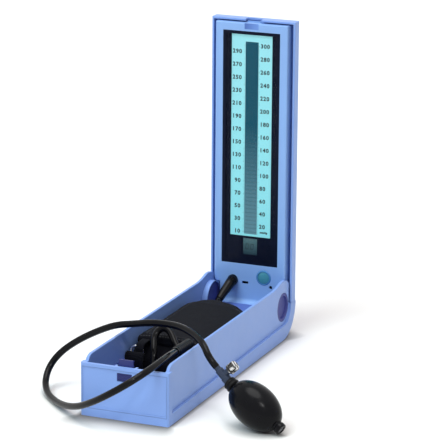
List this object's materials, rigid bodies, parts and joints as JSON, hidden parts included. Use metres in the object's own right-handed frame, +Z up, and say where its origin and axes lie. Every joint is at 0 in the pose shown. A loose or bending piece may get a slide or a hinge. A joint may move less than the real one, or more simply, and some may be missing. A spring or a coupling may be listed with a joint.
{
  "type": "desk column sphygmomanometer",
  "caption": "Desk blood-pressure gauge: long blue box case with upright hinged lid holding a lit column scale, black cuff, two hoses and a hand bulb with screw valve.",
  "frame": {"origin": "centre of the closed case's outline on the flat underside", "axes": "+Z up, +Y from the latch at the front to the hinge at the back, +X to the right of the reader"},
  "size_m": [0.2853, 0.3967, 0.354],
  "materials": {
    "case_blue": "moulded, satin-glossy light blue",
    "tray_blue": "moulded blue liner",
    "panel_blue": "moulded, satin blue",
    "latch_violet": "dark violet-blue moulding",
    "screw_steel": "zinc-plated",
    "spring_steel": "bright spring strip",
    "cap_dark": "dark slate moulding",
    "pad_rubber": "soft matt",
    "window_clear": "clear acrylic, polished",
    "mask_black": "black, printed",
    "scale_cyan": "translucent cyan, backlit",
    "crystal_cell": "liquid-crystal cell",
    "guide_white": "milky light guide",
    "board_green": "glass-fibre laminate",
    "battery_foil": "foil-wrapped cell",
    "button_teal": "teal keycap",
    "bezel_blue": "blue ring",
    "hose_rubber": "smooth black",
    "silicone": "translucent silicone",
    "cuff_cloth": "black woven nylon",
    "bladder_rubber": "black latex-free rubber",
    "ring_chrome": "nickel-chrome plated",
    "sleeve_rubber": "ribbed black rubber",
    "bulb_rubber": "satin black",
    "valve_steel": "turned and plated",
    "valve_grey": "slate-grey moulding"
  },
  "bodies": {
    "base": {"base_shell": "case_blue", "accessory_tray": "tray_blue", "foot_pads": "pad_rubber", "base_screws": "screw_steel", "latch_pin": "screw_steel", "latch_spring": "spring_steel", "cuff_wrap": "cuff_cloth", "cuff_bladder": "bladder_rubber", "cuff_flap": "cuff_cloth", "cuff_d_ring": "ring_chrome", "bulb_hose": "hose_rubber", "gauge_hose": "hose_rubber", "bulb_hose_sleeve": "sleeve_rubber", "gauge_hose_sleeve": "sleeve_rubber", "bulb": "bulb_rubber", "intake_valve": "valve_steel", "valve_body": "valve_grey", "neck_collar": "sleeve_rubber"},
    "lid": {"lid_cover": "case_blue", "lid_screws": "screw_steel", "hinge_cap_left": "cap_dark", "hinge_cap_right": "cap_dark", "panel_housing": "panel_blue", "window_lens": "window_clear", "display_mask": "mask_black", "scale_plate": "scale_cyan", "column_display": "crystal_cell", "readout_display": "crystal_cell", "light_guide": "guide_white", "main_board": "board_green", "pressure_sensor": "mask_black", "battery_pack": "battery_foil", "buzzer": "mask_black", "power_socket": "mask_black", "switch_board": "board_green", "button_switch": "mask_black", "button_bezel": "bezel_blue", "inlet_elbow": "hose_rubber", "sensor_tube": "silicone"},
    "latch": {"latch_lever": "latch_violet"},
    "power_key": {"power_button": "button_teal"},
    "valve_screw": {"valve_knob": "ring_chrome"}
  },
  "joints": [
    {"name": "lid_hinge", "type": "hinge", "parent": "base", "child": "lid", "pos_m": [0, 0.1445, 0.037], "axis": [1, 0, 0], "range_deg": [0, 90], "deforming": ["gauge_hose", "bulb_hose", "bulb_hose_sleeve", "gauge_hose_sleeve"]},
    {"name": "latch_rock", "type": "hinge", "parent": "base", "child": "latch", "pos_m": [0, -0.171, 0.054], "axis": [1, 0, 0], "range_deg": [0, 5], "stiffness_Nm_per_rad": 0.15, "springref_deg": -2.86, "deforming": ["latch_spring"]},
    {"name": "key_press", "type": "slide", "parent": "lid", "child": "power_key", "axis": [0, 1, 0], "range_m": [0, 0.0012], "stiffness_N_per_m": 400, "springref_m": -0.0008},
    {"name": "valve_turn", "type": "hinge", "parent": "base", "child": "valve_screw", "pos_m": [0.09225, -0.13875, 0.0494], "axis": [0.7162, 0.0585, 0.6954], "range_deg": [0, 540]}
  ]
}
